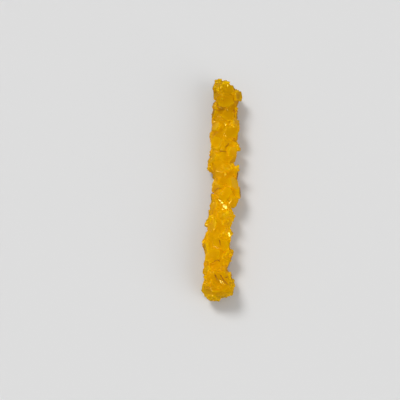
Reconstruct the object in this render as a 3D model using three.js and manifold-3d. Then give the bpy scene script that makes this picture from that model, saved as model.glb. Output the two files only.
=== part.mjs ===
// A stick of saffron rock candy, lying on a table: one solid of intergrown sugar crystals, with threads of saffron
// caught on them. Nothing of the string or rod that such a stick can grow on is there to see, so it has none.
//
// Millimetres, +Z up. The stick lies along Y, with its blunt end at -Y and its peaked end at +Y, and the origin is
// under the middle of its bounding box, on the table.

import * as THREE from "three";
import { LoftGeometry } from "three/addons/geometries/LoftGeometry.js";
import { mergeVertices } from "three/addons/utils/BufferGeometryUtils.js";
import Module from "manifold-3d";

const wasm = await Module();
wasm.setup();

const { degToRad } = THREE.MathUtils;

// ---- Driving dimensions ----

const STICK_LENGTH = 200;
const SPINE_HEIGHT = 10; // above the table, of the straight line that the outer shape surrounds
const RISE = 1.0; // the outer shape's height over the spine, as a share of its half width
const DROP = 0.86; // and its depth under the spine
const SQUARENESS = 2.4; // of its cross-section: 2 is an ellipse, and more is boxier

// The outer shape from above, as its reach to the left and right of the spine. A wide place is the middle of a clump
// of crystals, and a narrow one is the waist between two clumps.
const OUTLINE = [
  { along: -100, left: 7.6, right: 4.6 },
  { along: -97, left: 10.6, right: 11.2 },
  { along: -92, left: 12.2, right: 16.0 },
  { along: -84, left: 12.2, right: 14.0 },
  { along: -73, left: 11.6, right: 8.6 },
  { along: -60, left: 12.6, right: 12.6 },
  { along: -51, left: 14.0, right: 10.4 },
  { along: -41, left: 10.4, right: 8.2 },
  { along: -35, left: 14.0, right: 10.0 },
  { along: -30, left: 11.0, right: 12.4 },
  { along: -23, left: 9.8, right: 7.8 },
  { along: -17, left: 9.4, right: 15.0 },
  { along: -8, left: 9.4, right: 16.0 },
  { along: 4, left: 8.8, right: 13.4 },
  { along: 15, left: 12.8, right: 13.6 },
  { along: 19, left: 13.6, right: 6.6 },
  { along: 23, left: 12.8, right: 11.6 },
  { along: 35, left: 13.6, right: 13.4 },
  { along: 40, left: 13.0, right: 9.0 },
  { along: 46, left: 13.0, right: 14.2 },
  { along: 55, left: 12.4, right: 13.4 },
  { along: 64, left: 12.6, right: 10.4 },
  { along: 77, left: 12.4, right: 12.0 },
  { along: 84, left: 11.6, right: 14.2 },
  { along: 90, left: 13.6, right: 12.0 },
  { along: 95, left: 12.6, right: 5.6 },
  { along: 100, left: 9.2, right: -2.8 },
];

// The solid heart that joins the crystals: its reach as a share of the outer shape's.
const CORE = { share: 0.82, sides: 8, shorter: 1.5 };

// The grades of sugar crystal, the largest first. A crystal is a six-sided tablet: length and width are those of its
// broad face, and depth is its thickness. Lying is the share that show their broad face, and the others point an end
// out. Lean is how far, in degrees, a crystal may stand off square. Sunk is how deep its middle lies under its seat,
// as a share of its height above its middle, and proud how far a corner may pass the outer shape.
const LARGE = {
  seed: 188,
  count: 92,
  length: [9.5, 15.5],
  width: [7.5, 11],
  depth: [4.8, 7.2],
  lying: 0.86,
  lean: 17,
  sunk: [1, 1],
  proud: 1,
};
const MEDIUM = {
  seed: 22,
  count: 44,
  length: [5, 7.6],
  width: [3.6, 5.4],
  depth: [2.6, 4.2],
  lying: 0.5,
  lean: 50,
  sunk: [0.1, 0.7],
  proud: 1.1,
};
const SMALL = {
  seed: 23,
  count: 22,
  length: [2.6, 4.4],
  width: [1.9, 3.1],
  depth: [1.4, 2.3],
  lying: 0.5,
  lean: 50,
  sunk: [0.1, 0.7],
  proud: 1.4,
};
// The broad tablets that close over the smaller crystals at both ends, on top, each by its seat, its turn from across
// the stick and the lean of its face towards the far end, both in degrees, and how far its corners pass the outer
// shape.
const BROAD = { depth: 6.5, roof: 0.3, ridge: 0.2 };
const BROAD_CRYSTALS = [
  { along: 86.5, angle: 99, length: 16, width: 12, turn: -17, lean: 7, proud: 1.4 },
  { along: 75.5, angle: 96, length: 16.5, width: 13, turn: -6, lean: 0, proud: 2.6 },
  { along: -88, angle: 92, length: 19, width: 16.5, turn: 7, lean: -3, proud: 2.6 },
];
const TABLET = { roof: [0.22, 0.45], ridge: [-0.5, 0.5], shallower: 0.8 }; // a tablet's two roof-shaped ends
const MONOCLINIC_LEAN = 13; // degrees off square that every sugar crystal leans
const GOLDEN_ANGLE = Math.PI * (3 - Math.sqrt(5)); // spreads crystals evenly round the stick
const SCATTER = 0.8; // radians that a crystal may be off its even place round the stick
const END_MARGIN = 1.5; // kept free of crystals at each end, but for the caps
const CAP = { count: 4, share: 0.5, spread: 0.5 }; // the large crystals that close each end

// Saffron threads, each by its middle on the stick and its way from there. Angles are in degrees: angle goes round
// the stick from +X over the top, heading from +Y to the left, and bend is the turn from end to end.
const THREAD = { width: 0.8, thickness: 0.65, step: 3 };
const THREADS = [
  { along: 66.5, angle: 126, length: 10, heading: 90, bend: -40 },
  { along: 66, angle: 46, length: 4.5, heading: 38, bend: 0 },
  { along: 32, angle: 77, length: 6, heading: -32, bend: 15 },
  { along: 26, angle: 92, length: 7, heading: 90, bend: 8 },
  { along: -9.4, angle: 140, length: 15, heading: 112, bend: 66 },
  { along: -56, angle: 83, length: 5, heading: 4, bend: 25 },
  { along: -70.4, angle: 90, length: 6.5, heading: -81, bend: -85 },
  { along: -85.6, angle: 97, length: 6, heading: 28, bend: 10 },
  { along: -87.2, angle: 73, length: 9.5, heading: 36, bend: -20 },
  { along: -84.4, angle: 60, length: 4, heading: 110, bend: 0 },
  { along: 81, angle: 196, length: 11, heading: 50, bend: 60 },
  { along: 46, angle: -20, length: 9, heading: 75, bend: -50 },
  { along: 38, angle: 232, length: 12, heading: 10, bend: 45 },
  { along: 4, angle: 6, length: 12, heading: 25, bend: -60 },
  { along: -36, angle: 300, length: 10, heading: 100, bend: 40 },
  { along: -64, angle: 12, length: 11, heading: -15, bend: 55 },
  { along: -78, angle: 215, length: 9, heading: 60, bend: -30 },
];

// ---- Tools ----

// Numbers from 0 to 1, the same ones on every run for a seed.
function seededRandom(seed) {
  let state = seed;
  return () => {
    state = (state * 1664525 + 1013904223) % 4294967296;
    return state / 4294967296;
  };
}

const between = ([low, high], share) => low + (high - low) * share;

// A closed geometry as a manifold-3d solid.
function solidFrom(geometry) {
  const bare = new THREE.BufferGeometry().copy(geometry);
  bare.deleteAttribute("normal");
  bare.deleteAttribute("uv");
  const merged = mergeVertices(bare);
  return new wasm.Manifold(
    new wasm.Mesh({
      numProp: 3,
      vertProperties: new Float32Array(merged.attributes.position.array),
      triVerts: new Uint32Array(merged.index.array),
    }),
  );
}

// A manifold-3d solid as a geometry.
function geometryFrom(solid) {
  const mesh = solid.getMesh();
  const geometry = new THREE.BufferGeometry();
  geometry.setAttribute("position", new THREE.BufferAttribute(mesh.vertProperties, mesh.numProp));
  geometry.setIndex(new THREE.BufferAttribute(mesh.triVerts, 1));
  return geometry;
}

// ---- The outer shape ----

// The cross-section at a place along the stick: its middle, half width, rise and drop.
function sectionAt(along) {
  const last = OUTLINE.length - 1;
  const y = THREE.MathUtils.clamp(along, OUTLINE[0].along, OUTLINE[last].along);
  const next = Math.max(1, OUTLINE.findIndex((station) => station.along >= y));
  const [from, to] = [OUTLINE[next - 1], OUTLINE[next]];
  const share = (y - from.along) / (to.along - from.along);
  const left = between([from.left, to.left], share);
  const right = between([from.right, to.right], share);
  const half = (left + right) / 2;
  return { middle: (right - left) / 2, half, rise: half * RISE, drop: half * DROP };
}

// How far the outer shape is from the middle of its section, at an angle round the stick: 0 is +X, and a quarter turn
// on is up.
function radiusAt(section, angle) {
  const tall = Math.sin(angle) > 0 ? section.rise : section.drop;
  const flat = Math.pow(Math.abs(Math.cos(angle)) / section.half, SQUARENESS);
  const upright = Math.pow(Math.abs(Math.sin(angle)) / tall, SQUARENESS);
  return Math.pow(flat + upright, -1 / SQUARENESS);
}

function skinPoint(along, angle, share = 1) {
  const section = sectionAt(along);
  const radius = radiusAt(section, angle) * share;
  const x = section.middle + radius * Math.cos(angle);
  return new THREE.Vector3(x, along, SPINE_HEIGHT + radius * Math.sin(angle));
}

// The way out of the outer shape. The steps to each side smooth its corners.
function skinNormal(along, angle) {
  const [step, turn] = [2, 0.1];
  const lengthways = skinPoint(along + step, angle).sub(skinPoint(along - step, angle));
  const roundways = skinPoint(along, angle + turn).sub(skinPoint(along, angle - turn));
  return lengthways.cross(roundways).normalize();
}

// How far a point lies outside the outer shape, negative inside it.
function overshoot(point) {
  const section = sectionAt(point.y);
  const [x, z] = [point.x - section.middle, point.z - SPINE_HEIGHT];
  const beyondSide = Math.hypot(x, z) - radiusAt(section, Math.atan2(z, x));
  return Math.max(Math.abs(point.y) - STICK_LENGTH / 2, beyondSide);
}

function core() {
  const shorten = 1 - (2 * CORE.shorter) / STICK_LENGTH;
  const sections = OUTLINE.map(({ along }) =>
    Array.from({ length: CORE.sides }, (_, i) =>
      skinPoint(along * shorten, (-i / CORE.sides) * 2 * Math.PI, CORE.share),
    ),
  );
  return solidFrom(new LoftGeometry(sections, { capStart: true, capEnd: true }));
}

// ---- Crystals ----

// A six-sided tablet: length along Y, width along X and depth along Z. Each end is a roof whose ridge is off the
// middle, and the whole leans as sugar crystals do.
function tabletGeometry(length, width, depth, roof, ridge) {
  const [x, y] = [width / 2, length / 2];
  const outline = new THREE.Shape([
    new THREE.Vector2(-x, -y + roof),
    new THREE.Vector2(-x * ridge, -y),
    new THREE.Vector2(x, -y + roof * TABLET.shallower),
    new THREE.Vector2(x, y - roof),
    new THREE.Vector2(x * ridge, y),
    new THREE.Vector2(-x, y - roof * TABLET.shallower),
  ]);
  const tablet = new THREE.ExtrudeGeometry(outline, { depth, bevelEnabled: false });
  tablet.translate(0, 0, -depth / 2);
  const lean = Math.tan(degToRad(MONOCLINIC_LEAN));
  return tablet.applyMatrix4(new THREE.Matrix4().makeShear(0, 0, 0, 0, lean, 0));
}

function drawTablet(grade, random) {
  const length = between(grade.length, random());
  const width = between(grade.width, random());
  const depth = between(grade.depth, random());
  const roof = Math.min(length, width) * between(TABLET.roof, random());
  return tabletGeometry(length, width, depth, roof, between(TABLET.ridge, random()));
}

// A turn that faces a tablet outwards: one that lies shows its broad face, and one that stands points an end out.
function drawTurn(grade, outward, random) {
  const aside = new THREE.Vector3(0, 1, 0).cross(outward);
  if (aside.length() < 0.2) aside.set(1, 0, 0).cross(outward);
  aside.normalize().applyAxisAngle(outward, 2 * Math.PI * random());
  const third = outward.clone().cross(aside);
  const basis = new THREE.Matrix4();
  if (random() < grade.lying) basis.makeBasis(aside, third, outward);
  else basis.makeBasis(third, outward, aside);
  const leanAxis = aside.clone().applyAxisAngle(outward, 2 * Math.PI * random());
  return new THREE.Matrix4().makeRotationAxis(leanAxis, degToRad(grade.lean) * random()).multiply(basis);
}

function cornersOf(geometry) {
  const position = geometry.getAttribute("position");
  return Array.from({ length: position.count }, (_, i) => new THREE.Vector3().fromBufferAttribute(position, i));
}

// Pushes a tablet in until none of its corners stands too proud of the outer shape. The second push makes up for the
// curve of that shape.
function pushIn(tablet, outward, proud) {
  for (let push = 0; push < 2; push += 1) {
    const excess = Math.max(0, Math.max(...cornersOf(tablet).map(overshoot)) - proud);
    tablet.translate(...outward.clone().multiplyScalar(-excess).toArray());
  }
  return tablet;
}

// Draws one crystal of a grade and sets it on its seat.
function crystal(grade, { place, outward }, random) {
  const tablet = drawTablet(grade, random).applyMatrix4(drawTurn(grade, outward, random));
  const height = Math.max(...cornersOf(tablet).map((corner) => corner.dot(outward)));
  const middle = place.clone().addScaledVector(outward, -height * between(grade.sunk, random()));
  return solidFrom(pushIn(tablet.translate(...middle.toArray()), outward, grade.proud));
}

// One broad tablet, its broad face out and its length across the stick.
function broadCrystal({ along, angle, length, width, turn, lean, proud }) {
  const place = skinPoint(along, degToRad(angle));
  const level = Math.cos(degToRad(lean));
  const outward = new THREE.Vector3(
    Math.cos(degToRad(angle)) * level,
    Math.sin(degToRad(lean)),
    Math.sin(degToRad(angle)) * level,
  );
  const across = new THREE.Vector3(0, 1, 0).cross(outward).normalize().applyAxisAngle(outward, degToRad(turn));
  const basis = new THREE.Matrix4().makeBasis(outward.clone().cross(across).negate(), across, outward);
  const tablet = tabletGeometry(length, width, BROAD.depth, width * BROAD.roof, BROAD.ridge).applyMatrix4(basis);
  const middle = place.addScaledVector(outward, proud - BROAD.depth / 2);
  return solidFrom(pushIn(tablet.translate(...middle.toArray()), outward, proud));
}

// The places of a grade's crystals, spread evenly along and round the stick.
function spread(grade, random) {
  return Array.from({ length: grade.count }, (_, i) => ({
    along: ((i + random()) / grade.count - 0.5) * (STICK_LENGTH - 2 * END_MARGIN),
    angle: i * GOLDEN_ANGLE + SCATTER * (random() - 0.5),
  }));
}

// The seats of the crystals that close one end, -1 or 1.
function capSeats(end, random) {
  return Array.from({ length: CAP.count }, (_, i) => {
    const angle = ((i + random() / 2) / CAP.count) * 2 * Math.PI;
    const sideways = new THREE.Vector3(Math.cos(angle), 0, Math.sin(angle)).multiplyScalar(CAP.spread);
    return {
      place: skinPoint((end * STICK_LENGTH) / 2, angle, CAP.share),
      outward: sideways.add(new THREE.Vector3(0, end, 0)).normalize(),
    };
  });
}

// The largest crystals make up the outer shape: a corner of each one reaches it.
function largeCrystals() {
  const random = seededRandom(LARGE.seed);
  const round = spread(LARGE, random).map(({ along, angle }) => ({
    place: skinPoint(along, angle),
    outward: skinNormal(along, angle),
  }));
  const seats = [...round, ...capSeats(-1, random), ...capSeats(1, random)];
  return seats.map((seat) => crystal(LARGE, seat, random));
}

// Makes a function that gives the seat where a line in from outside meets a solid. The way out there is a mean of the
// outer shape's and, with twice the weight, the solid's own.
function seatFinder(solid) {
  const start = 8;
  const mesh = new THREE.Mesh(geometryFrom(solid), new THREE.MeshBasicMaterial());
  const caster = new THREE.Raycaster();
  return (along, angle) => {
    const outward = skinNormal(along, angle);
    caster.set(skinPoint(along, angle).addScaledVector(outward, start), outward.clone().negate());
    const [{ point, face }] = caster.intersectObject(mesh);
    return { place: point, outward: face.normal.clone().addScaledVector(outward, 0.5).normalize() };
  };
}

// Smaller crystals sit on the faces of the larger ones.
function smallerCrystals(grade, host) {
  const random = seededRandom(grade.seed);
  const seatAt = seatFinder(host);
  return spread(grade, random).map(({ along, angle }) => crystal(grade, seatAt(along, angle), random));
}

// ---- Saffron ----

// A thread lies along the crystals, half sunk in them, and bridges their narrow gaps.
function thread({ along, angle, length, heading, bend }, seatAt) {
  const steps = Math.max(2, Math.round(length / THREAD.step));
  const turn = degToRad(angle);
  const radius = radiusAt(sectionAt(along), turn);
  const points = Array.from({ length: steps + 1 }, (_, i) => {
    const run = (i / steps - 0.5) * length;
    const way = degToRad(heading + (bend * run) / length / 2);
    return seatAt(along + run * Math.cos(way), turn + (run * Math.sin(way)) / radius).place;
  });
  const [x, y] = [THREAD.width / 2, THREAD.thickness / 2];
  const section = new THREE.Shape([new THREE.Vector2(-x, -y), new THREE.Vector2(x, -y), new THREE.Vector2(0, y)]);
  return solidFrom(
    new THREE.ExtrudeGeometry(section, { steps, extrudePath: new THREE.CatmullRomCurve3(points) }),
  );
}

// ---- The stick ----

function grow() {
  let stick = wasm.Manifold.union([core(), ...largeCrystals()]);
  for (const grade of [MEDIUM, SMALL]) stick = wasm.Manifold.union([stick, ...smallerCrystals(grade, stick)]);
  stick = wasm.Manifold.union([stick, ...BROAD_CRYSTALS.map(broadCrystal)]);
  const seatAt = seatFinder(stick);
  return wasm.Manifold.union([stick, ...THREADS.map((saffron) => thread(saffron, seatAt))]);
}

// The underside, flat wherever crystals would reach below the table.
function flattened(stick) {
  const deep = 40;
  const table = new THREE.BoxGeometry(STICK_LENGTH, 2 * STICK_LENGTH, deep).translate(0, 0, -deep / 2);
  return stick.subtract(solidFrom(table));
}

const candy = new THREE.MeshStandardMaterial({ color: "#d4970a", roughness: 0.2, metalness: 0 });
const stick = new THREE.Mesh(geometryFrom(flattened(grow())), candy);
stick.name = "rock_candy_stick";
stick.geometry.computeBoundingBox();
const middle = stick.geometry.boundingBox.getCenter(new THREE.Vector3());
stick.position.set(-middle.x, -middle.y, 0);

const rockCandy = new THREE.Group();
rockCandy.add(stick);

export default rockCandy;
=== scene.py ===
"""A stick of saffron rock candy on a pale floor: its crust of sugar crystals, its threads and their looks.

Metres throughout. The stick lies along Y with its peaked end at +Y, and the floor is at z = 0.
"""

import random
from math import cos, exp, pi, radians, sin, tan

import bmesh
import bpy
from mathutils import Matrix, Vector
from mathutils.bvhtree import BVHTree


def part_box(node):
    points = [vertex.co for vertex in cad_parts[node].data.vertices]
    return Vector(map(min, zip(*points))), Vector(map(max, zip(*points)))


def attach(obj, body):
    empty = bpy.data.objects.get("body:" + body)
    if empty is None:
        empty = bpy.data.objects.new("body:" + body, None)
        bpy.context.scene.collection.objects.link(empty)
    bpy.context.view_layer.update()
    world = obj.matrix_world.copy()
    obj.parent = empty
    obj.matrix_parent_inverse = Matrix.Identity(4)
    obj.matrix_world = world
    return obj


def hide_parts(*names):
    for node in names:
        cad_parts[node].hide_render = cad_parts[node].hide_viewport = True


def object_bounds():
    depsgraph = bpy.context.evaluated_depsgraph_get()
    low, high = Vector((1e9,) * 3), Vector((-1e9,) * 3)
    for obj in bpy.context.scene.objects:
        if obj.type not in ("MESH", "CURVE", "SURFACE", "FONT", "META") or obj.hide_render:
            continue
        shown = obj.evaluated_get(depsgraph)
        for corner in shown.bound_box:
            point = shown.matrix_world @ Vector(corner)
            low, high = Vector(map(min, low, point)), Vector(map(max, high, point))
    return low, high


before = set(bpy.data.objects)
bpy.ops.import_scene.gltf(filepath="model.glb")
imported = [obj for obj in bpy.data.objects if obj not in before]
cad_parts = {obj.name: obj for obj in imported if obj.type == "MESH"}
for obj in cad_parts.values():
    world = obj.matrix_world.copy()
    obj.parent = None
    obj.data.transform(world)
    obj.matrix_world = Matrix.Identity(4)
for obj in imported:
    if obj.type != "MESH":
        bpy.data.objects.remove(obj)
cad_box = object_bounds()

MM = 0.001
STICK = "rock_candy_stick"

# ---- The stick's outer shape, as in the solid ----

SPINE_HEIGHT = 10 * MM
RISE = 1.0
DROP = 0.86
SQUARENESS = 2.4
# Places along the stick, in mm, with the reach to the left and right of its spine there.
OUTLINE = [
    (-100, 7.6, 4.6), (-97, 10.6, 11.2), (-92, 12.2, 16.0), (-84, 12.2, 14.0), (-73, 11.6, 8.6),
    (-60, 12.6, 12.6), (-51, 14.0, 10.4), (-41, 10.4, 8.2), (-35, 14.0, 10.0), (-30, 11.0, 12.4),
    (-23, 9.8, 7.8), (-17, 9.4, 15.0), (-8, 9.4, 16.0), (4, 8.8, 13.4), (15, 12.8, 13.6),
    (19, 13.6, 6.6), (23, 12.8, 11.6), (35, 13.6, 13.4), (40, 13.0, 9.0), (46, 13.0, 14.2),
    (55, 12.4, 13.4), (64, 12.6, 10.4), (77, 12.4, 12.0), (84, 11.6, 14.2), (90, 13.6, 12.0),
    (95, 12.6, 5.6), (100, 9.2, -2.8),
]
CENTRING = Vector((-1.16, 0.48, 0)) * MM  # from the spine's frame to this one


def section_at(along):
    """The middle, half width, rise and drop of the outer shape's section at a place along it."""
    y = min(max(along / MM, OUTLINE[0][0]), OUTLINE[-1][0])
    after = next(i for i, station in enumerate(OUTLINE) if i > 0 and station[0] >= y)
    (y0, left0, right0), (y1, left1, right1) = OUTLINE[after - 1], OUTLINE[after]
    share = (y - y0) / (y1 - y0)
    left = (left0 + (left1 - left0) * share) * MM
    right = (right0 + (right1 - right0) * share) * MM
    half = (left + right) / 2
    return (right - left) / 2, half, half * RISE, half * DROP


def radius_at(along, angle):
    """How far the outer shape reaches from the middle of its section, at an angle round it."""
    _, half, rise, drop = section_at(along)
    tall = rise if sin(angle) > 0 else drop
    flat = (abs(cos(angle)) / half) ** SQUARENESS
    upright = (abs(sin(angle)) / tall) ** SQUARENESS
    return (flat + upright) ** (-1 / SQUARENESS)


def skin_point(along, angle):
    """A point of the outer shape."""
    radius = radius_at(along, angle)
    middle = section_at(along)[0]
    return Vector((middle + radius * cos(angle), along, SPINE_HEIGHT + radius * sin(angle))) + CENTRING


def skin_normal(along, angle):
    """The way straight out of the outer shape at one of its points."""
    step, turn = 2 * MM, 0.1
    lengthways = skin_point(along + step, angle) - skin_point(along - step, angle)
    roundways = skin_point(along, angle + turn) - skin_point(along, angle - turn)
    return lengthways.cross(roundways).normalized()


# ---- Meshes ----

DOUBLES = 0.001 * MM  # corners closer than this are one
FREE_HEIGHT = 8 * MM  # above the outer shape, where no crystal reaches


def add_object(name, data):
    """Adds an object of a mesh, a light or a camera to the scene."""
    made = bpy.data.objects.new(name, data)
    bpy.context.scene.collection.objects.link(made)
    return made


def new_mesh(name, work):
    """The shape worked on as a finished mesh."""
    mesh = bpy.data.meshes.new(name)
    work.to_mesh(mesh)
    work.free()
    return mesh


def finished_mesh(made):
    """The object's mesh with its modifiers applied, as a new plain mesh."""
    evaluated = made.evaluated_get(bpy.context.evaluated_depsgraph_get())
    return bpy.data.meshes.new_from_object(evaluated)


def merged_solid(node):
    """The CAD node's solid as one closed mesh, its doubled corners merged."""
    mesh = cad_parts[node].data.copy()
    mesh.materials.clear()
    work = bmesh.new()
    work.from_mesh(mesh)
    bmesh.ops.remove_doubles(work, verts=work.verts, dist=DOUBLES)
    work.to_mesh(mesh)
    work.free()
    return mesh


def box_mesh(name, low, high):
    work = bmesh.new()
    bmesh.ops.create_cube(work, size=1)
    middle, size = (low + high) / 2, high - low
    for corner in work.verts:
        corner.co = middle + Vector(c * s for c, s in zip(corner.co, size))
    return new_mesh(name, work)


def keep_inside(mesh, low, high):
    """Moves every corner of a mesh into a box."""
    for corner in mesh.vertices:
        corner.co = [min(max(c, least), most) for c, least, most in zip(corner.co, low, high)]


def largest_part(mesh):
    """Leaves only the largest connected part of a mesh."""
    work = bmesh.new()
    work.from_mesh(mesh)
    unseen = set(work.verts)
    parts = []
    while unseen:
        part, edge = set(), [unseen.pop()]
        while edge:
            corner = edge.pop()
            part.add(corner)
            for link in corner.link_edges:
                other = link.other_vert(corner)
                if other in unseen:
                    unseen.remove(other)
                    edge.append(other)
        parts.append(part)
    parts.sort(key=len)
    for part in parts[:-1]:
        bmesh.ops.delete(work, geom=list(part), context="VERTS")
    work.to_mesh(mesh)
    work.free()


def ray_tree(mesh):
    return BVHTree.FromPolygons([v.co for v in mesh.vertices], [p.vertices for p in mesh.polygons])


def surface_finder(mesh):
    """A function that gives a mesh's surface point at a place on the stick, and the way out of it there."""
    tree = ray_tree(mesh)

    def find(along, angle):
        outward = skin_normal(along, angle)
        return tree.ray_cast(skin_point(along, angle) + outward * FREE_HEIGHT, -outward)[0], outward

    return find


# ---- Nodes ----


def add_node(tree, kind, inputs=(), **settings):
    """Adds a node, sets its properties, then sets or links its inputs, each by its name or index."""
    made = tree.nodes.new(kind)
    for name, value in settings.items():
        setattr(made, name, value)
    for key, value in inputs:
        if isinstance(value, bpy.types.NodeSocket):
            tree.links.new(value, made.inputs[key])
        else:
            made.inputs[key].default_value = value
    return made


def calculate(tree, operation, *values):
    return add_node(tree, "ShaderNodeMath", enumerate(values), operation=operation).outputs[0]


def compare(tree, operation, first, second):
    made = add_node(tree, "FunctionNodeCompare", [("A", first), ("B", second)], operation=operation)
    return made.outputs[0]


def ramp(tree, value, start, end, low=0.0, high=1.0):
    """Goes from low to high while the value goes from start to end, and stays there beyond them."""
    inputs = [("Value", value), ("From Min", start), ("From Max", end), ("To Min", low), ("To Max", high)]
    return add_node(tree, "ShaderNodeMapRange", inputs).outputs[0]


def noise(tree, place, scale, detail):
    inputs = [("Vector", place), ("Scale", scale), ("Detail", detail)]
    return add_node(tree, "ShaderNodeTexNoise", inputs).outputs["Fac"]


def join_axes(tree, x, y, z):
    return add_node(tree, "ShaderNodeCombineXYZ", [("X", x), ("Y", y), ("Z", z)]).outputs[0]


def split_axes(tree, vector):
    return add_node(tree, "ShaderNodeSeparateXYZ", [(0, vector)]).outputs


# The next four nodes have sockets of the same name for each kind of value, so theirs go by their order.


def random_number(tree, seed, least=0.0, most=1.0):
    inputs = [(2, least), (3, most), ("Seed", seed)]
    return add_node(tree, "FunctionNodeRandomValue", inputs, data_type="FLOAT").outputs[1]


def random_vector(tree, seed, least, most):
    inputs = [(0, least), (1, most), ("Seed", seed)]
    return add_node(tree, "FunctionNodeRandomValue", inputs, data_type="FLOAT_VECTOR").outputs[0]


def mix_numbers(tree, share, first, second):
    made = add_node(tree, "ShaderNodeMix", [(0, share), (2, first), (3, second)], data_type="FLOAT")
    return made.outputs[0]


def mix_colours(tree, share, first, second):
    made = add_node(tree, "ShaderNodeMix", [(0, share), (6, first), (7, second)], data_type="RGBA")
    return made.outputs[2]


def new_group(name, kind, inputs, outputs):
    """A node group, what it is given and what it gives. Each input has a name, a kind and a first value."""
    tree = bpy.data.node_groups.new(name, kind)
    for title, socket, value in inputs:
        made = tree.interface.new_socket(title, in_out="INPUT", socket_type=socket)
        if value is not None:
            made.default_value = value
    for title, socket in outputs:
        tree.interface.new_socket(title, in_out="OUTPUT", socket_type=socket)
    return tree, tree.nodes.new("NodeGroupInput").outputs, tree.nodes.new("NodeGroupOutput").inputs


def stick_group(name, inputs):
    """A geometry nodes group that is given the stick and more, and gives the stick back."""
    all_inputs = [("Stick", "NodeSocketGeometry", None), *inputs]
    return new_group(name, "GeometryNodeTree", all_inputs, [("Stick", "NodeSocketGeometry")])


def object_mesh(tree, other):
    return add_node(tree, "GeometryNodeObjectInfo", [("Object", other)]).outputs["Geometry"]


def drop_points(tree, points, dropped):
    inputs = [("Geometry", points), ("Selection", dropped)]
    return add_node(tree, "GeometryNodeDeleteGeometry", inputs, domain="POINT").outputs[0]


def unite(tree, stick, crystals):
    """The stick and the crystals as one closed mesh."""
    union = add_node(tree, "GeometryNodeMeshBoolean", operation="UNION", solver="MANIFOLD")
    for part in (crystals, stick):
        tree.links.new(part, union.inputs["Mesh"])
    return union.outputs["Mesh"]


def finish_tree(tree, geometry, candy, result):
    """The end of each tree on the sugar: what it made becomes real and takes the candy's material."""
    real = add_node(tree, "GeometryNodeRealizeInstances", [("Geometry", geometry)]).outputs[0]
    made = add_node(tree, "GeometryNodeSetMaterial", [("Geometry", real), ("Material", candy)])
    tree.links.new(made.outputs[0], result["Stick"])


def use_tree(made, title, tree, values):
    """Adds a geometry nodes modifier and sets its inputs by their sockets' identifiers."""
    modifier = made.modifiers.new(title, "NODES")
    modifier.node_group = tree
    identifiers = {item.name: item.identifier for item in tree.interface.items_tree if item.in_out == "INPUT"}
    for name, value in values.items():
        modifier[identifiers[name]] = value


# ---- How crystals grow ----

# One tablet of unit size: the height of its roof-shaped ends, how much of that the far slope of each has, how
# far from the middle their ridges are, and how far it leans.
ROOF = 0.3
FAR_SLOPE = 0.8
RIDGE = 0.15
OFF_SQUARE = radians(13)

# A crystal's width and length at size 1 and its thickness at flatness 1, at the least and at the most.
SLIMMEST = (0.6, 0.9, 0.7)
STOUTEST = (0.9, 1.4, 1.3)

FULL_PATCH = 0.7  # the noise from which a patch is full of crystals
SIDE, TOP = 0.5, 0.85  # how far up a face looks where the side of the stick ends and where its top starts

CRYSTAL_INPUTS = [
    ("Crystal", "NodeSocketObject", None),
    ("Threads", "NodeSocketObject", None),
    ("Smallest", "NodeSocketFloat", 1 * MM),
    ("Largest", "NodeSocketFloat", 2 * MM),
    ("Flatness", "NodeSocketFloat", 0.5),
    ("Lean", "NodeSocketFloat", 0.8),
    ("Thread Gap", "NodeSocketFloat", 1 * MM),
    ("Seed", "NodeSocketInt", 0),
]
CRUST_INPUTS = [
    *CRYSTAL_INPUTS,
    ("Patch Size", "NodeSocketFloat", 12 * MM),
    ("Bare Share", "NodeSocketFloat", 0.5),
    ("Top Share", "NodeSocketFloat", 1.0),
    ("From Along", "NodeSocketFloat", -200 * MM),
    ("To Along", "NodeSocketFloat", 200 * MM),
    ("Candy", "NodeSocketMaterial", None),
]


def add_tablet(work, placing):
    """A sugar crystal of unit size: a six-sided tablet with a roof-shaped end each way, off square."""
    half = 0.5
    far = ROOF * FAR_SLOPE
    outline = [
        (-half, -half + ROOF), (-RIDGE, -half), (half, -half + far),
        (half, half - ROOF), (RIDGE, half), (-half, half - far),
    ]
    rings = []
    for level in (-half, half):
        shift = level * tan(OFF_SQUARE)
        rings.append([work.verts.new(placing @ Vector((x + shift, y, level))) for x, y in outline])
    low, high = rings
    work.faces.new(low[::-1])
    work.faces.new(high)
    for i in range(len(outline)):
        beside = (i + 1) % len(outline)
        work.faces.new((low[i], low[beside], high[beside], high[i]))


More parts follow.
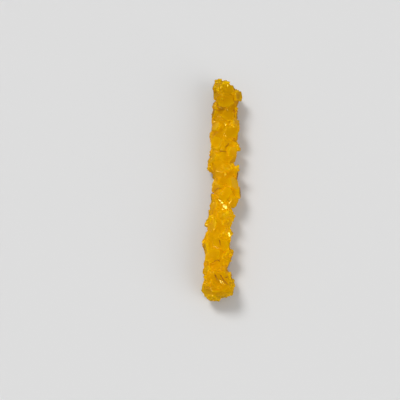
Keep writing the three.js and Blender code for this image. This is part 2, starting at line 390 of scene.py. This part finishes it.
def grow_group():
    """Geometry nodes that set a leaning, uneven crystal on each seat and unite all of them with the stick."""
    seats = [("Seats", "NodeSocketGeometry", None), ("Outward", "NodeSocketVector", None)]
    tree, given, result = stick_group("Grow crystals", [*seats, *CRYSTAL_INPUTS])
    seed, lean, flatness = given["Seed"], given["Lean"], given["Flatness"]

    near = add_node(tree, "GeometryNodeProximity", [(0, object_mesh(tree, given["Threads"]))])
    crowding = compare(tree, "LESS_THAN", near.outputs["Distance"], given["Thread Gap"])
    free_seats = drop_points(tree, given["Seats"], crowding)

    facing = add_node(tree, "FunctionNodeAlignRotationToVector", [("Vector", given["Outward"])], axis="Z")
    back = calculate(tree, "MULTIPLY", lean, -1.0)
    turn = random_vector(tree, seed, join_axes(tree, back, back, -pi), join_axes(tree, lean, lean, pi))
    turned = add_node(
        tree,
        "FunctionNodeRotateRotation",
        [("Rotation", facing.outputs[0]), ("Rotate By", turn)],
        rotation_space="LOCAL",
    )

    size = random_number(tree, seed, given["Smallest"], given["Largest"])
    limits = []
    for width, length, thickness in (SLIMMEST, STOUTEST):
        limits.append(join_axes(tree, width, length, calculate(tree, "MULTIPLY", flatness, thickness)))
    form = random_vector(tree, seed, *limits)
    scaled = add_node(tree, "ShaderNodeVectorMath", [(0, form), ("Scale", size)], operation="SCALE")

    crystals = add_node(
        tree,
        "GeometryNodeInstanceOnPoints",
        [
            ("Points", free_seats),
            ("Instance", object_mesh(tree, given["Crystal"])),
            ("Rotation", turned.outputs[0]),
            ("Scale", scaled.outputs[0]),
        ],
    )
    tree.links.new(unite(tree, given["Stick"], crystals.outputs[0]), result["Stick"])
    return tree


def patches(tree, given, outward):
    """A share from 0 to 1 that comes and goes in patches, is lower on top and is 0 off the given stretch."""
    place = add_node(tree, "GeometryNodeInputPosition").outputs[0]
    cloud = noise(tree, place, scale=calculate(tree, "DIVIDE", 1.0, given["Patch Size"]), detail=1.0)
    upward = split_axes(tree, outward)["Z"]
    along = split_axes(tree, place)["Y"]
    share = ramp(tree, cloud, given["Bare Share"], FULL_PATCH)
    for other in (
        ramp(tree, upward, SIDE, TOP, 1.0, given["Top Share"]),
        calculate(tree, "GREATER_THAN", along, given["From Along"]),
        calculate(tree, "LESS_THAN", along, given["To Along"]),
    ):
        share = calculate(tree, "MULTIPLY", share, other)
    return share


def finish_crust(tree, given, result, seats, outward, grow):
    """The end that both crust trees share: crystals grown on the seats."""
    inputs = [(name, given[name]) for name in ("Stick", *(title for title, _, _ in CRYSTAL_INPUTS))]
    inputs += [("Seats", seats), ("Outward", outward)]
    grown = add_node(tree, "GeometryNodeGroup", inputs, node_tree=grow)
    finish_tree(tree, grown.outputs[0], given["Candy"], result)


def face_crust_tree(grow):
    """Geometry nodes for crystals scattered over the stick's faces, in patches."""
    inputs = [("Density", "NodeSocketFloat", 30000.0), *CRUST_INPUTS]
    tree, given, result = stick_group("Crystals on faces", inputs)
    normal = add_node(tree, "GeometryNodeInputNormal").outputs[0]
    density = calculate(tree, "MULTIPLY", given["Density"], patches(tree, given, normal))
    scattered = add_node(
        tree,
        "GeometryNodeDistributePointsOnFaces",
        [("Mesh", given["Stick"]), ("Density", density), ("Seed", given["Seed"])],
    ).outputs
    finish_crust(tree, given, result, scattered["Points"], scattered["Normal"], grow)
    return tree


def valley_crust_tree(grow):
    """Geometry nodes for crystals along the stick's valleys, where larger crystals meet."""
    inputs = [
        ("Spacing", "NodeSocketFloat", 1.5 * MM),
        ("Valley Angle", "NodeSocketFloat", 0.4),
        *CRUST_INPUTS,
    ]
    tree, given, result = stick_group("Crystals in valleys", inputs)
    normal = add_node(tree, "GeometryNodeInputNormal").outputs[0]
    noted = add_node(tree, "GeometryNodeCaptureAttribute", [("Geometry", given["Stick"])], domain="POINT")
    noted.capture_items.new("VECTOR", "Outward")
    tree.links.new(normal, noted.inputs["Outward"])
    stick, outward = noted.outputs["Geometry"], noted.outputs["Outward"]

    fold = add_node(tree, "GeometryNodeInputMeshEdgeAngle").outputs["Signed Angle"]
    valley = compare(tree, "LESS_THAN", fold, calculate(tree, "MULTIPLY", given["Valley Angle"], -1.0))
    lines = add_node(tree, "GeometryNodeMeshToCurve", [("Mesh", stick), ("Selection", valley)]).outputs[0]
    spaced = [("Curve", lines), ("Length", given["Spacing"])]
    beads = add_node(tree, "GeometryNodeCurveToPoints", spaced, mode="LENGTH").outputs["Points"]
    bare = compare(tree, "GREATER_THAN", random_number(tree, given["Seed"]), patches(tree, given, outward))
    finish_crust(tree, given, result, drop_points(tree, beads, bare), outward, grow)
    return tree


def join_tree():
    """Geometry nodes that unite another object's crystals with the stick."""
    inputs = [("Crystals", "NodeSocketObject", None), ("Candy", "NodeSocketMaterial", None)]
    tree, given, result = stick_group("Join crystals", inputs)
    united = unite(tree, given["Stick"], object_mesh(tree, given["Crystals"]))
    finish_tree(tree, united, given["Candy"], result)
    return tree


# ---- The sugar ----

# Clear crystals whose broad face catches the light: the place of each, in mm along the stick and degrees
# round it; its length and width in mm; the turn of its face in degrees; how far that face looks away from
# upright, and which way, in degrees from +X; and how far its middle lies above the surface, in mm.
CLEAR_CRYSTALS = [
    (-22.6, 54, 5.4, 4.6, 20, 32, 223, 0.7), (-20.6, 87, 3.2, 2.6, 75, 32, 223, 0.9),
    (-24.8, 76, 2.0, 1.6, 130, 31, 223, 0.3), (-46.5, 34, 5.2, 4.6, 60, 31, 221, 0.6),
    (54.5, 82, 2.2, 1.8, 10, 35, 228, 0.3), (52.5, 92, 3.0, 2.2, 110, 34, 228, 0.4),
    (49.0, 117, 2.0, 1.5, 40, 34, 228, 0.3), (52.0, 65, 2.0, 1.5, 70, 35, 227, -0.5),
    (90.0, 86, 2.4, 1.6, 150, 36, 230, 0.3), (86.0, 50, 2.0, 1.5, 20, 36, 229, 0.3),
    (5.0, 90, 3.4, 2.4, 100, 33, 225, 0.5), (-87.6, 71, 6.4, 2.0, 16, 36, 217, -2.1),
    (-38.5, 160, 2.8, 2.0, 60, 30, 223, 0.4), (-54.0, 160, 2.2, 1.6, 90, 30, 221, 0.3),
    (68.0, 22, 2.6, 2.0, 50, 35, 228, 0.4),
]
CLEAR_THICKNESS = 0.9  # as a share of the length

# Stretches of the stick where crystals gather: the start and end of each along the stick, and its smallest
# and largest crystal, all in mm.
GATHERED = [(50, 61, 0.9, 2.2), (-27, -20, 0.9, 2.2), (-102, -97, 1.8, 4.0), (95, 102, 1.5, 3.5)]
FIRST_GATHERED_SEED = 10

FINENESS = 0.3 * MM  # of the softened mesh
KEPT_TRIANGLES = 0.3  # as a share of the softened mesh's

GLOW_DEPTH = 7 * MM  # the thickness of sugar that takes light to 1/e
GLOW_START = 0.05 * MM  # under the surface
GLOW_SPREAD = 0.8  # how far each way through the sugar turns aside, for 1 straight in
GLOW_AXES = [Vector((1, 0, 0)), Vector((0, 1, 0)), Vector((0, 0, 1))]
GLOW_WAYS = [axis * side * GLOW_SPREAD for axis in GLOW_AXES for side in (1, -1)]


def unit_tablet():
    """The one crystal that the crust repeats."""
    work = bmesh.new()
    add_tablet(work, Matrix())
    return add_object("sugar_tablet", new_mesh("sugar_tablet", work))


def clear_crystals(find):
    """The clear crystals as one object."""
    work = bmesh.new()
    for along, angle, length, width, turn, tilt, heading, lift in CLEAR_CRYSTALS:
        point, outward = find(along * MM, radians(angle))
        point += outward * lift * MM
        facing = Matrix.Rotation(radians(heading), 4, "Z") @ Matrix.Rotation(radians(tilt), 4, "Y")
        spin = Matrix.Rotation(radians(turn), 4, "Z")
        size = Matrix.Diagonal((width * MM, length * MM, length * MM * CLEAR_THICKNESS, 1))
        add_tablet(work, Matrix.Translation(point) @ facing @ spin @ size)
    return add_object("clear_crystals", new_mesh("clear_crystals", work))


def add_crust(sugar, tablet, threads, candy):
    """Grows the crust on the sugar, from broad crystals to fine ones."""
    grow = grow_group()
    on_faces = face_crust_tree(grow)
    common = {"Crystal": tablet, "Threads": threads, "Candy": candy}
    use_tree(sugar, "broad crystals", on_faces, {
        "Density": 9000.0, "Smallest": 3.6 * MM, "Largest": 6.5 * MM, "Flatness": 0.26, "Lean": 0.15,
        "Bare Share": 0.4, "Top Share": 0.35, "Thread Gap": 2.5 * MM, "Seed": 2, **common,
    })
    use_tree(sugar, "valley crystals", valley_crust_tree(grow), {
        "Spacing": 2.2 * MM, "Smallest": 1.2 * MM, "Largest": 3.2 * MM, "Flatness": 0.6, "Lean": 0.6,
        "Bare Share": 0.3, "Top Share": 0.35, "Thread Gap": 1.6 * MM, "Seed": 4, **common,
    })
    use_tree(sugar, "fine crystals", on_faces, {
        "Density": 60000.0, "Smallest": 0.9 * MM, "Largest": 2.4 * MM, "Flatness": 0.6, "Lean": 0.7,
        "Bare Share": 0.42, "Top Share": 0.04, "Seed": 9, **common,
    })
    for seed, (start, end, smallest, largest) in enumerate(GATHERED, FIRST_GATHERED_SEED):
        use_tree(sugar, f"gathered crystals {seed}", on_faces, {
            "Density": 90000.0, "Smallest": smallest * MM, "Largest": largest * MM, "Flatness": 0.6,
            "Lean": 0.7, "Bare Share": 0.4, "From Along": start * MM, "To Along": end * MM,
            "Seed": seed, **common,
        })


def trim(sugar, limits):
    """Cuts off what grew past the limits."""
    cut = sugar.modifiers.new("trim", "BOOLEAN")
    cut.operation = "INTERSECT"
    cut.solver = "MANIFOLD"
    cut.object = limits


def soften(sugar):
    """Rounds every edge a little, as damp air does to sugar."""
    even = sugar.modifiers.new("even", "REMESH")
    even.mode = "VOXEL"
    even.voxel_size = FINENESS
    ease = sugar.modifiers.new("ease", "SMOOTH")
    ease.factor = 0.5
    ease.iterations = 2
    thin = sugar.modifiers.new("thin", "DECIMATE")
    thin.ratio = KEPT_TRIANGLES


def note_glow(mesh):
    """Gives each corner of a mesh a glow from 0 to 1: how much light comes through the sugar behind it."""
    tree = ray_tree(mesh)
    glow = mesh.attributes.new("glow", "FLOAT", "POINT")
    for corner, noted in zip(mesh.vertices, glow.data):
        inward = -corner.normal
        start = corner.co + inward * GLOW_START
        through = 0
        for way in GLOW_WAYS:
            depth = tree.ray_cast(start, (inward + way).normalized())[3]
            through += exp(-(depth or 0) / GLOW_DEPTH)
        noted.value = through / len(GLOW_WAYS)


def grow_sugar(find, threads, candy):
    """The solid with a crust of small and fine crystals, its edges softened, inside the solid's own box."""
    sugar = add_object("sugar_crystals", merged_solid(STICK))
    tablet = unit_tablet()
    clear = clear_crystals(find)
    limits = add_object("sugar_limits", box_mesh("sugar_limits", *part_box(STICK)))
    add_crust(sugar, tablet, threads, candy)
    use_tree(sugar, "clear crystals", join_tree(), {"Crystals": clear, "Candy": candy})
    trim(sugar, limits)
    soften(sugar)
    mesh = finished_mesh(sugar)
    sugar.modifiers.clear()
    sugar.data = mesh
    largest_part(mesh)
    keep_inside(mesh, *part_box(STICK))
    note_glow(mesh)
    mesh.shade_smooth()
    for helper in (tablet, clear, limits):
        bpy.data.objects.remove(helper)
    return sugar


# ---- The saffron ----

# Saffron threads, as on the solid: the middle of each, in mm along the stick and degrees round it from +X
# over the top; its length in mm; its heading from +Y to the left; and its turn from end to end.
THREADS = [
    (66.5, 126, 10, 90, -40), (66, 46, 4.5, 38, 0), (32, 77, 6, -32, 15), (26, 92, 7, 90, 8),
    (-9.4, 140, 15, 112, 66), (-56, 83, 5, 4, 25), (-70.4, 90, 6.5, -81, -85), (-85.6, 97, 6, 28, 10),
    (-87.2, 73, 9.5, 36, -20), (-84.4, 60, 4, 110, 0), (81, 196, 11, 50, 60), (46, -20, 9, 75, -50),
    (38, 232, 12, 10, 45), (4, 6, 12, 25, -60), (-36, 300, 10, 100, 40), (-64, 12, 11, -15, 55),
    (-78, 215, 9, 60, -30),
]
THREAD_SEED = 7
THREAD_STEP = 0.6 * MM
FEWEST_STEPS = 6
EASING_ROUNDS = 3
THREAD_SIDES = 8
THREAD_RADIUS = 0.38 * MM
THREAD_WAVE = 0.15 * MM
WAVE_RUN = 0.8 * MM  # the length of thread for each radian of its wave

# As shares of the thread's radius: its width at the root and what that gains to the tip, its thickness at the
# root and what that loses, how uneven both are, and what is left of them at the closed ends.
ROOT_WIDTH, WIDENING = 0.65, 0.55
ROOT_THICKNESS, THINNING = 0.75, 0.2
UNEVENNESS = (0.85, 1.15)
END_SHARE = 0.45


def thread_route(along, angle, length, heading, bend, find):
    """Points along a thread that lies on the surface, each with the way out of it."""
    along, angle, length = along * MM, radians(angle), length * MM
    radius = radius_at(along, angle)
    steps = max(FEWEST_STEPS, round(length / THREAD_STEP))
    route = []
    for i in range(steps + 1):
        run = (i / steps - 0.5) * length
        way = radians(heading + bend * run / length / 2)
        route.append(find(along + run * cos(way), angle + run * sin(way) / radius))
    return route


def smoothed(route):
    """The route with its kinks eased, as a thread bends but doesn't fold, and nowhere under the surface."""
    points = [point for point, _ in route]
    for _ in range(EASING_ROUNDS):
        inner = [(a + 2 * b + c) / 4 for a, b, c in zip(points, points[1:], points[2:])]
        points = [points[0], *inner, points[-1]]
    eased = []
    for point, (surface, outward) in zip(points, route):
        sunk = (surface - point).dot(outward)
        eased.append((point + outward * max(sunk, 0), outward))
    return eased


def add_thread(work, route, draw):
    """Adds a dry, wavy thread along a route, thin at its root and widening to a flat tip, its ends closed.

    Gives the share from root to tip of each corner added.
    """
    last = len(route) - 1
    rings = []
    phase = draw.uniform(0, 2 * pi)
    for i, (point, outward) in enumerate(route):
        ahead = (route[min(i + 1, last)][0] - route[max(i - 1, 0)][0]).normalized()
        side = outward.cross(ahead).normalized()
        up = ahead.cross(side)
        share = i / last
        point = point + side * THREAD_WAVE * sin(phase + i * THREAD_STEP / WAVE_RUN)
        wide = THREAD_RADIUS * (ROOT_WIDTH + WIDENING * share**2) * draw.uniform(*UNEVENNESS)
        thick = THREAD_RADIUS * (ROOT_THICKNESS - THINNING * share) * draw.uniform(*UNEVENNESS)
        if i in (0, last):
            wide, thick = wide * END_SHARE, thick * END_SHARE
        ring = []
        for corner in range(THREAD_SIDES):
            turn = 2 * pi * corner / THREAD_SIDES
            ring.append(work.verts.new(point + side * wide * cos(turn) + up * thick * sin(turn)))
        rings.append(ring)
    for low, high in zip(rings, rings[1:]):
        for corner in range(THREAD_SIDES):
            beside = (corner + 1) % THREAD_SIDES
            work.faces.new((low[corner], low[beside], high[beside], high[corner]))
    work.faces.new(rings[0][::-1])
    work.faces.new(rings[-1])
    return [i / last for i in range(last + 1) for _ in range(THREAD_SIDES)]


def make_threads(find, material):
    """All the threads as one piece, each corner noting how far it is towards its thread's tip."""
    draw = random.Random(THREAD_SEED)
    work = bmesh.new()
    shares = []
    for thread in THREADS:
        shares += add_thread(work, smoothed(thread_route(*thread, find)), draw)
    bmesh.ops.recalc_face_normals(work, faces=work.faces)
    mesh = new_mesh("saffron_threads", work)
    mesh.attributes.new("tip", "FLOAT", "POINT").data.foreach_set("value", shares)
    keep_inside(mesh, *cad_box)
    mesh.shade_smooth()
    mesh.materials.append(material)
    return add_object("saffron_threads", mesh)


# ---- Materials ----

AMBER = (0.67, 0.31, 0.0, 1)
GOLD = (0.69, 0.355, 0.0, 1)
OLIVE = (0.52, 0.245, 0.0, 1)
LEMON = (0.49, 0.26, 0.0, 1)
DEEP = (0.585, 0.262, 0.0, 1)
# Painted glow: a paler tone low on the blunt end, standing in for light coming through its lower sides.
PAINTED_LOW_GLOW = (0.62, 0.335, 0.0, 1)
# Painted glow: a lighter yellow for thin rims, standing in for light that comes through the sugar.
PAINTED_GLOW = (0.69, 0.43, 0.0, 1)

# Where each change of the sugar's colour starts and ends: to olive and then to lemon along the peaked end, to
# deep and a painted paler glow along the blunt one, from deep down to that painted glow there, and to the
# painted glow of thin rims by how much light comes through the sugar.
TO_OLIVE = (30 * MM, 68 * MM)
TO_LEMON = (80 * MM, 90 * MM)
TO_BLUNT_END = (-76 * MM, -90 * MM)
DOWN_TO_PAINTED_LOW_GLOW = (22 * MM, 15 * MM)
TO_PAINTED_GLOW = (0.15, 0.6)
PAINTED_GLOW_SHARE = 0.85

# The two tones of the saffron's streaks at each end of a thread.
SAFFRON_ROOT = [(0.36, 0.11, 0.0, 1), (0.58, 0.20, 0.0, 1)]
SAFFRON_TIP = [(0.22, 0.045, 0.0, 1), (0.38, 0.10, 0.0, 1)]

FLOOR_TONE = 0.78

MOST_NOISE = (0.35, 0.65)  # what most of a noise lies between
TERRACE = 0.05  # the step between terraces, as a share of the grain's depth


def new_material(name):
    """A material, its node tree and the inputs of its shader."""
    material = bpy.data.materials.new(name)
    material.use_nodes = True
    return material, material.node_tree, material.node_tree.nodes["Principled BSDF"].inputs


def object_place(tree):
    return add_node(tree, "ShaderNodeTexCoord").outputs["Object"]


def noted_share(tree, name):
    return add_node(tree, "ShaderNodeAttribute", attribute_name=name).outputs["Fac"]


def grain_group():
    """Shader nodes for uneven grain: a share that changes over the surface, and its roughness and normal."""
    tree, given, result = new_group(
        "Uneven grain",
        "ShaderNodeTree",
        [
            ("Place", "NodeSocketVector", None),
            ("Scale", "NodeSocketFloat", 100.0),
            ("Terraces", "NodeSocketFloat", 0.0),
            ("Depth", "NodeSocketFloat", 0.1 * MM),
            ("Smoothest", "NodeSocketFloat", 0.1),
            ("Roughest", "NodeSocketFloat", 0.2),
        ],
        [("Share", "NodeSocketFloat"), ("Roughness", "NodeSocketFloat"), ("Normal", "NodeSocketVector")],
    )
    wave = noise(tree, given["Place"], given["Scale"], detail=2.0)
    stepped = mix_numbers(tree, given["Terraces"], wave, calculate(tree, "SNAP", wave, TERRACE))
    bump = [("Strength", 1.0), ("Distance", given["Depth"]), ("Height", stepped)]
    tree.links.new(wave, result["Share"])
    tree.links.new(ramp(tree, wave, *MOST_NOISE, given["Smoothest"], given["Roughest"]), result["Roughness"])
    tree.links.new(add_node(tree, "ShaderNodeBump", bump).outputs[0], result["Normal"])
    return tree


def add_grain(tree, shader, place, grain, values):
    """Gives a material the uneven grain with its own values, and returns the share that changes over it."""
    made = add_node(tree, "ShaderNodeGroup", [("Place", place), *values.items()], node_tree=grain).outputs
    tree.links.new(made["Roughness"], shader["Roughness"])
    tree.links.new(made["Normal"], shader["Normal"])
    return made["Share"]


def sugar_colour(tree, place):
    """The sugar's clouded colour, changing towards both ends, with painted glow where thin and low on the
    blunt end.
    """
    cloud = noise(tree, place, scale=70.0, detail=3.0)
    axes = split_axes(tree, place)
    along, upward = axes["Y"], axes["Z"]
    glow = noted_share(tree, "glow")
    # Painted glow: the blunt end turns paler lower down, where light comes through its sides.
    blunt_end = mix_colours(tree, ramp(tree, upward, *DOWN_TO_PAINTED_LOW_GLOW), DEEP, PAINTED_LOW_GLOW)
    colour = mix_colours(tree, ramp(tree, cloud, *MOST_NOISE), AMBER, GOLD)
    colour = mix_colours(tree, ramp(tree, along, *TO_OLIVE), colour, OLIVE)
    colour = mix_colours(tree, ramp(tree, along, *TO_LEMON), colour, LEMON)
    colour = mix_colours(tree, ramp(tree, along, *TO_BLUNT_END), colour, blunt_end)
    # Painted glow: thin sugar is lightened by how much light the glow measure says comes through it.
    return mix_colours(tree, ramp(tree, glow, *TO_PAINTED_GLOW, high=PAINTED_GLOW_SHARE), colour, PAINTED_GLOW)


def candy_material(grain):
    """Translucent golden amber sugar."""
    material, tree, shader = new_material("golden_sugar")
    place = object_place(tree)
    tree.links.new(sugar_colour(tree, place), shader["Base Color"])
    add_grain(tree, shader, place, grain, {
        "Scale": 160.0, "Terraces": 0.5, "Depth": 0.4 * MM, "Smoothest": 0.1, "Roughest": 0.2,
    })
    shader["IOR"].default_value = 1.54
    shader["Specular IOR Level"].default_value = 0.35
    shader["Specular Tint"].default_value = (1.0, 0.9, 0.25, 1.0)
    tree.nodes["Principled BSDF"].subsurface_method = "BURLEY"
    shader["Subsurface Weight"].default_value = 1.0
    shader["Subsurface Radius"].default_value = (1.0, 0.8, 0.3)
    shader["Subsurface Scale"].default_value = 10 * MM
    return material


def saffron_material(grain):
    """Dry saffron: orange at the root of a thread and dark red-brown at its tip, with fine streaks."""
    material, tree, shader = new_material("dry_saffron")
    streaks = add_grain(tree, shader, object_place(tree), grain, {
        "Scale": 1200.0, "Terraces": 0.0, "Depth": 0.06 * MM, "Smoothest": 0.5, "Roughest": 0.75,
    })
    root = mix_colours(tree, streaks, *SAFFRON_ROOT)
    tip = mix_colours(tree, streaks, *SAFFRON_TIP)
    tree.links.new(mix_colours(tree, noted_share(tree, "tip"), root, tip), shader["Base Color"])
    shader["Specular IOR Level"].default_value = 0.2
    return material


def floor_material():
    material, _, shader = new_material("pale_floor")
    shader["Base Color"].default_value = (FLOOR_TONE, FLOOR_TONE, FLOOR_TONE, 1)
    shader["Roughness"].default_value = 0.9
    shader["Specular IOR Level"].default_value = 0.0
    return material


# ---- Floor, light and camera ----

FLOOR_SIZE = 40.0

ROOM_LIGHT = 0.4
BACKDROP = 0.725
# The room that glossy faces mirror: the strength of its walls on the level and of all well above or below,
# and where that starts, from 0 on the level to 1 straight up or down.
WALLS = 0.45
ABOVE_AND_BELOW = 0.06
WALL_HEIGHT = 0.45

CAMERA_AZIMUTH = radians(3.607)
CAMERA_ELEVATION = radians(70)
CAMERA_DISTANCE = 550 * MM
CAMERA_LENS = 56.85
NEAREST_SEEN = 10 * MM
AIM = Vector((-19.6, -11.7, 0)) * MM


def add_floor():
    work = bmesh.new()
    bmesh.ops.create_grid(work, x_segments=1, y_segments=1, size=FLOOR_SIZE / 2)
    mesh = new_mesh("floor", work)
    mesh.materials.append(floor_material())
    floor = add_object("floor", mesh)
    floor.visible_glossy = False


def add_softbox(name, towards, width, strength, mirrored):
    """A far, even light from a direction, its width in degrees. Only a mirrored one shows in glossy faces."""
    light = bpy.data.lights.new(name, "SUN")
    light.angle = radians(width)
    light.energy = strength
    made = add_object(name, light)
    made.rotation_mode = "QUATERNION"
    made.rotation_quaternion = (-Vector(towards)).to_track_quat("-Z", "Y")
    made.visible_glossy = mirrored
    made.visible_diffuse = not mirrored


def add_softboxes():
    add_softbox("key", towards=(-0.45, 0.45, 0.75), width=20, strength=1.6, mirrored=False)
    add_softbox("fill", towards=(0.8, -0.5, 0.5), width=50, strength=0.95, mirrored=False)
    add_softbox("spark", towards=(-0.694, -0.324, 0.643), width=14, strength=3.0, mirrored=True)


def add_room():
    """White light from all round. It shows as a brighter backdrop, and glossy faces mirror mostly walls."""
    world = bpy.data.worlds.new("studio")
    world.use_nodes = True
    tree = world.node_tree
    path = add_node(tree, "ShaderNodeLightPath").outputs
    seen = ramp(tree, path["Is Camera Ray"], 0.0, 1.0, ROOM_LIGHT, BACKDROP)
    way = add_node(tree, "ShaderNodeTexCoord").outputs["Generated"]
    height = calculate(tree, "ABSOLUTE", split_axes(tree, way)["Z"])
    mirrored = ramp(tree, height, 0.0, WALL_HEIGHT, WALLS, ABOVE_AND_BELOW)
    background = tree.nodes["Background"].inputs
    tree.links.new(mix_numbers(tree, path["Is Glossy Ray"], seen, mirrored), background["Strength"])
    background["Color"].default_value = (1, 1, 1, 1)
    bpy.context.scene.world = world
    bpy.context.scene.view_settings.view_transform = "Standard"


def add_camera():
    camera = add_object("camera", bpy.data.cameras.new("camera"))
    camera.data.lens = CAMERA_LENS
    camera.data.clip_start = NEAREST_SEEN
    level = cos(CAMERA_ELEVATION)
    back = Vector((sin(CAMERA_AZIMUTH) * level, -cos(CAMERA_AZIMUTH) * level, sin(CAMERA_ELEVATION)))
    camera.location = AIM + back * CAMERA_DISTANCE
    camera.rotation_mode = "QUATERNION"
    camera.rotation_quaternion = (-back).to_track_quat("-Z", "Y")
    bpy.context.scene.camera = camera


# ---- The whole ----

add_camera()
add_softboxes()
add_room()
add_floor()

grain = grain_group()
find = surface_finder(merged_solid(STICK))
saffron = make_threads(find, saffron_material(grain))
sugar = grow_sugar(find, saffron, candy_material(grain))

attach(sugar, "root")
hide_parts("rock_candy_stick")
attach(saffron, "root")
